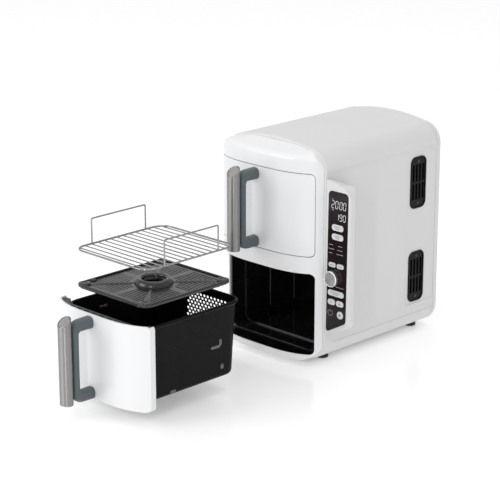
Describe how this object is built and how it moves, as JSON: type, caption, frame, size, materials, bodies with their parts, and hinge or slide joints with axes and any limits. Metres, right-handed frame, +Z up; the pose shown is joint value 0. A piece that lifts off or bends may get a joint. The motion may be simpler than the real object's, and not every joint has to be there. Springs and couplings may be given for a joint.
{
  "type": "air fryer",
  "caption": "Stacked air fryer cabinet with two pull-out drawers, one out with its crisper plate and wire rack lifted clear, bar handles, side control console with dial and keys.",
  "frame": {"origin": "middle of the whole footprint (cabinet with the lower drawer pulled out), on the surface that the feet stand on", "axes": "+Z up, -Y the way the drawers open and the front faces, +X towards the control console side"},
  "size_m": [0.283, 0.7718, 0.3838],
  "materials": {
    "gloss_white": "glossy white moulded plastic",
    "satin_white": "satin warm-white moulded plastic",
    "black_plastic": "satin black moulded plastic",
    "cavity_enamel": "glossy black enamelled sheet",
    "non_stick": "satin dark non-stick coating on sheet steel",
    "slate_plastic": "satin slate-grey moulded plastic",
    "grey_plastic": "mid-grey moulded plastic",
    "brushed_steel": "brushed stainless steel",
    "chrome": "bright plated wire",
    "panel_glass": "gloss black printed control glass",
    "key_grey": "light grey keys",
    "rubber": "black rubber",
    "silicone": "dark silicone",
    "motor_metal": "zinc-plated motor can",
    "circuit_board": "green circuit board"
  },
  "bodies": {
    "cabinet": {"front_bezel": "gloss_white", "housing_shell": "satin_white", "rear_cover": "satin_white", "control_console": "satin_white", "base_pan": "black_plastic", "cord_gland": "black_plastic", "side_vent_right_upper": "black_plastic", "side_vent_right_lower": "black_plastic", "side_vent_left_upper": "black_plastic", "side_vent_left_lower": "black_plastic", "cavity_liner_upper": "cavity_enamel", "cavity_liner_lower": "cavity_enamel", "fan_guard_upper": "cavity_enamel", "fan_guard_lower": "cavity_enamel", "heating_element_upper": "chrome", "heating_element_lower": "chrome", "rear_screw_1": "chrome", "rear_screw_2": "chrome", "rear_screw_3": "chrome", "rear_screw_4": "chrome", "control_panel_glass": "panel_glass", "foot_left_front": "rubber", "foot_left_rear": "rubber", "foot_right_front": "rubber", "foot_right_rear": "rubber", "fan_motor_upper": "motor_metal", "fan_motor_lower": "motor_metal", "control_board": "circuit_board"},
    "drawer_upper": {"drawer_front_upper": "gloss_white", "drawer_insert_upper": "grey_plastic", "basket_upper": "non_stick", "handle_bar_upper": "brushed_steel", "handle_cap_upper": "brushed_steel", "handle_bracket_upper": "slate_plastic", "crisper_plate_upper": "non_stick"},
    "drawer_lower": {"drawer_front_lower": "gloss_white", "drawer_insert_lower": "grey_plastic", "basket_lower": "non_stick", "handle_bar_lower": "brushed_steel", "handle_cap_lower": "brushed_steel", "handle_bracket_lower": "slate_plastic"},
    "crisper_plate": {"crisper_plate_lower": "non_stick", "plate_bumper_1": "silicone", "plate_bumper_2": "silicone", "plate_bumper_3": "silicone", "plate_bumper_4": "silicone"},
    "rack": {"meal_rack": "chrome"},
    "fan_upper": {"fan_impeller_upper": "brushed_steel"},
    "fan_lower": {"fan_impeller_lower": "brushed_steel"},
    "dial": {"control_dial": "brushed_steel"},
    "key_zone_upper": {"button_zone_upper": "key_grey"},
    "key_zone_lower": {"button_zone_lower": "key_grey"},
    "key_temp_time": {"button_temp_time": "key_grey"},
    "key_mode": {"button_mode": "key_grey"},
    "key_sync": {"button_sync": "key_grey"},
    "key_minus": {"button_minus": "key_grey"},
    "key_plus": {"button_plus": "key_grey"},
    "key_start": {"button_start": "key_grey"}
  },
  "joints": [
    {"name": "crisper_plate_lift", "type": "slide", "parent": "cabinet", "child": "crisper_plate", "axis": [0, 0, 1], "range_m": [-0.146, 0]},
    {"name": "dial_turn", "type": "hinge", "parent": "cabinet", "child": "dial", "pos_m": [0.106, 0.074, 0.1632], "axis": [0, -1, 0], "continuous": true},
    {"name": "drawer_lower_slide", "type": "slide", "parent": "cabinet", "child": "drawer_lower", "axis": [0, 1, 0], "range_m": [0, 0.37]},
    {"name": "drawer_upper_slide", "type": "slide", "parent": "cabinet", "child": "drawer_upper", "axis": [0, -1, 0], "range_m": [0, 0.07]},
    {"name": "fan_lower_spin", "type": "hinge", "parent": "cabinet", "child": "fan_lower", "pos_m": [-0.0265, 0.318, 0.094], "axis": [0, 1, 0], "continuous": true},
    {"name": "fan_upper_spin", "type": "hinge", "parent": "cabinet", "child": "fan_upper", "pos_m": [-0.0265, 0.318, 0.2668], "axis": [0, 1, 0], "continuous": true},
    {"name": "meal_rack_lift", "type": "slide", "parent": "crisper_plate", "child": "rack", "axis": [0, 0, 1], "range_m": [0, 0.06]},
    {"name": "press_zone_upper", "type": "slide", "parent": "cabinet", "child": "key_zone_upper", "axis": [0, 1, 0], "range_m": [0, 0.001], "stiffness_N_per_m": 600},
    {"name": "press_zone_lower", "type": "slide", "parent": "cabinet", "child": "key_zone_lower", "axis": [0, 1, 0], "range_m": [0, 0.001], "stiffness_N_per_m": 600},
    {"name": "press_temp_time", "type": "slide", "parent": "cabinet", "child": "key_temp_time", "axis": [0, 1, 0], "range_m": [0, 0.001], "stiffness_N_per_m": 600},
    {"name": "press_mode", "type": "slide", "parent": "cabinet", "child": "key_mode", "axis": [0, 1, 0], "range_m": [0, 0.001], "stiffness_N_per_m": 600},
    {"name": "press_sync", "type": "slide", "parent": "cabinet", "child": "key_sync", "axis": [0, 1, 0], "range_m": [0, 0.001], "stiffness_N_per_m": 600},
    {"name": "press_minus", "type": "slide", "parent": "cabinet", "child": "key_minus", "axis": [0, 1, 0], "range_m": [0, 0.001], "stiffness_N_per_m": 600},
    {"name": "press_plus", "type": "slide", "parent": "cabinet", "child": "key_plus", "axis": [0, 1, 0], "range_m": [0, 0.001], "stiffness_N_per_m": 600},
    {"name": "press_start", "type": "slide", "parent": "cabinet", "child": "key_start", "axis": [0, 1, 0], "range_m": [0, 0.001], "stiffness_N_per_m": 600}
  ]
}
